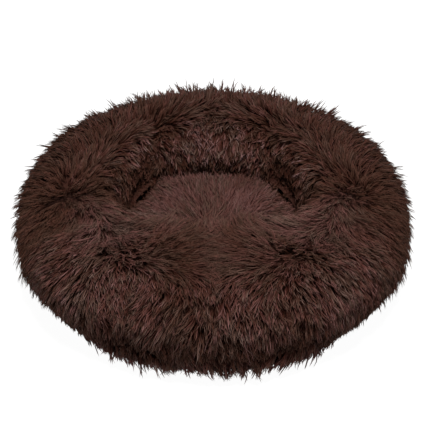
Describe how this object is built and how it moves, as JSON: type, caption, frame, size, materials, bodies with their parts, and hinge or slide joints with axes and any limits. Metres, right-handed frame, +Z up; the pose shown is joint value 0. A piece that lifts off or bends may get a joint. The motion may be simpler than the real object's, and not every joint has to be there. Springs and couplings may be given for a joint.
{
  "type": "round donut pet bed",
  "caption": "Round donut pet bed in shaggy brown plush: a puffed bolster ring drawn in by pleats round a crowned cushion, on a flat cloth base.",
  "frame": {"origin": "on the floor, under the middle of the bed", "axes": "+Z up; -Y towards the front of the bed, where the ring leans in over the cushion; +X to the right seen from the front"},
  "size_m": [0.5906, 0.594, 0.163],
  "materials": {
    "plush": "long shaggy pile, matt dark brown with lighter reddish tips",
    "fibre": "loose white polyester fibre",
    "lining": "thin non-woven cloth",
    "tape": "dark twill tape",
    "base_cloth": "close-woven dark cloth, slightly grippy"
  },
  "bodies": {
    "root": {"bolster_cover": "plush", "bolster_fill": "fibre", "divider_wall": "lining", "seam_tape": "tape", "cushion_cover": "plush", "cushion_fill": "fibre", "base_panel": "base_cloth", "base_binding": "tape"}
  },
  "joints": []
}
